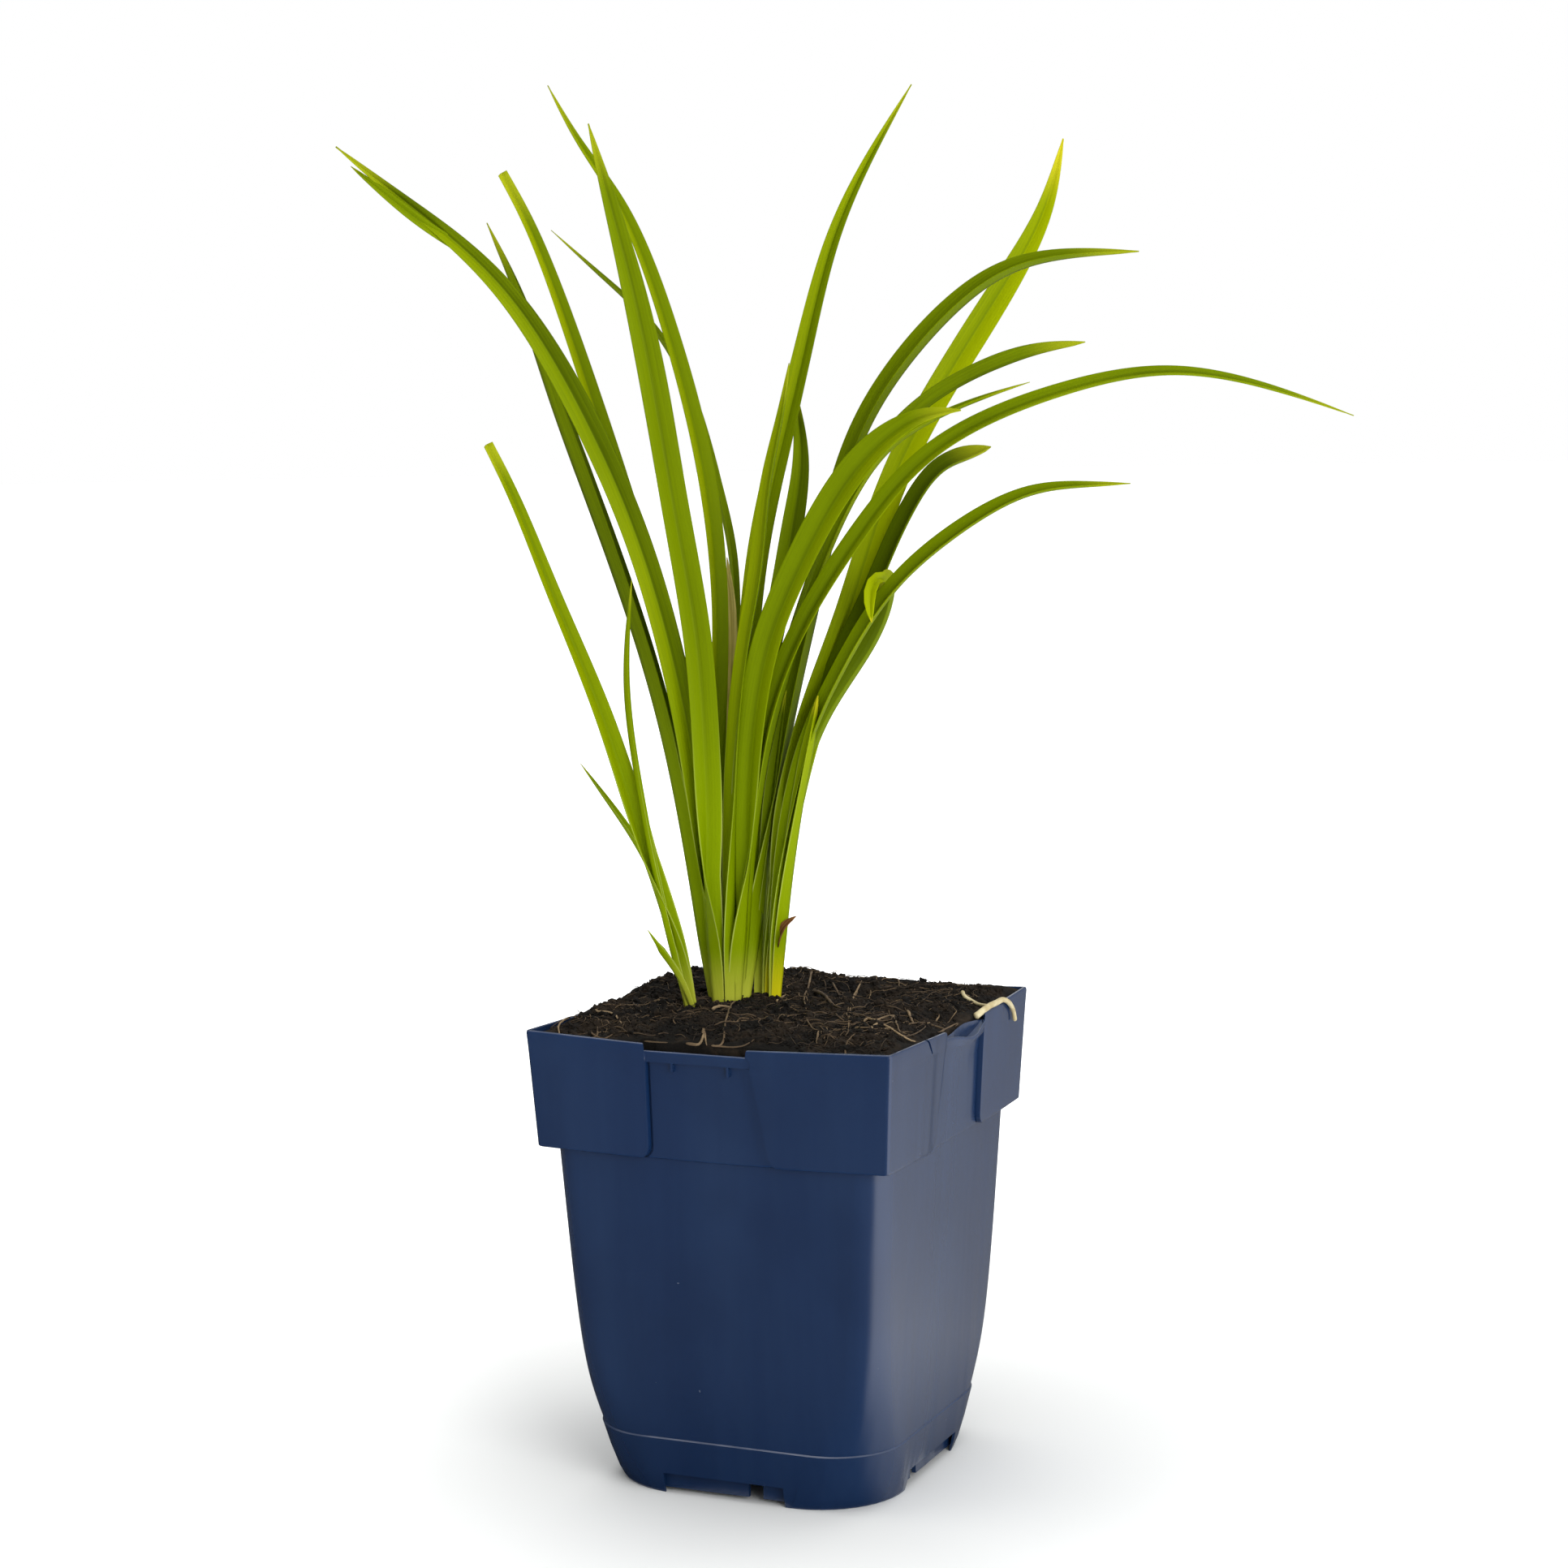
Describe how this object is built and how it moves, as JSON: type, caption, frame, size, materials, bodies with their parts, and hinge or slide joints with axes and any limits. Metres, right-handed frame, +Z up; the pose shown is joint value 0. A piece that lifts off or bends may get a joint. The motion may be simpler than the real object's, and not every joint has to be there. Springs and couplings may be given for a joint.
{
  "type": "potted daylily",
  "caption": "Young clump-forming daylily in leaf, with arching strap leaves, growing in soil in a square tapered nursery pot.",
  "frame": {"origin": "middle of the pot's underside, on the flat pad that it stands on", "axes": "+Z up along the pot's axis; the pot's four faces look along +X, -X, +Y and -Y; the clump's leaves spread in an upright plane turned 23.6 degrees from +X towards +Y"},
  "size_m": [0.2385, 0.1786, 0.3855],
  "materials": {
    "pot": "moulded dark navy blue plastic with a soft sheen, fine scratches and dust",
    "soil": "dark moist potting soil of bark and fibre, rough and crumbly",
    "leaf": "smooth living leaf, yellow-green, finely ribbed lengthwise, with a soft satin sheen",
    "root": "pale cream fleshy root, matt and slightly wrinkled"
  },
  "bodies": {
    "root": {"pot": "pot", "soil": "soil", "main_fan": "leaf", "right_fan": "leaf", "left_shoot": "leaf", "rim_root": "root"}
  },
  "joints": []
}
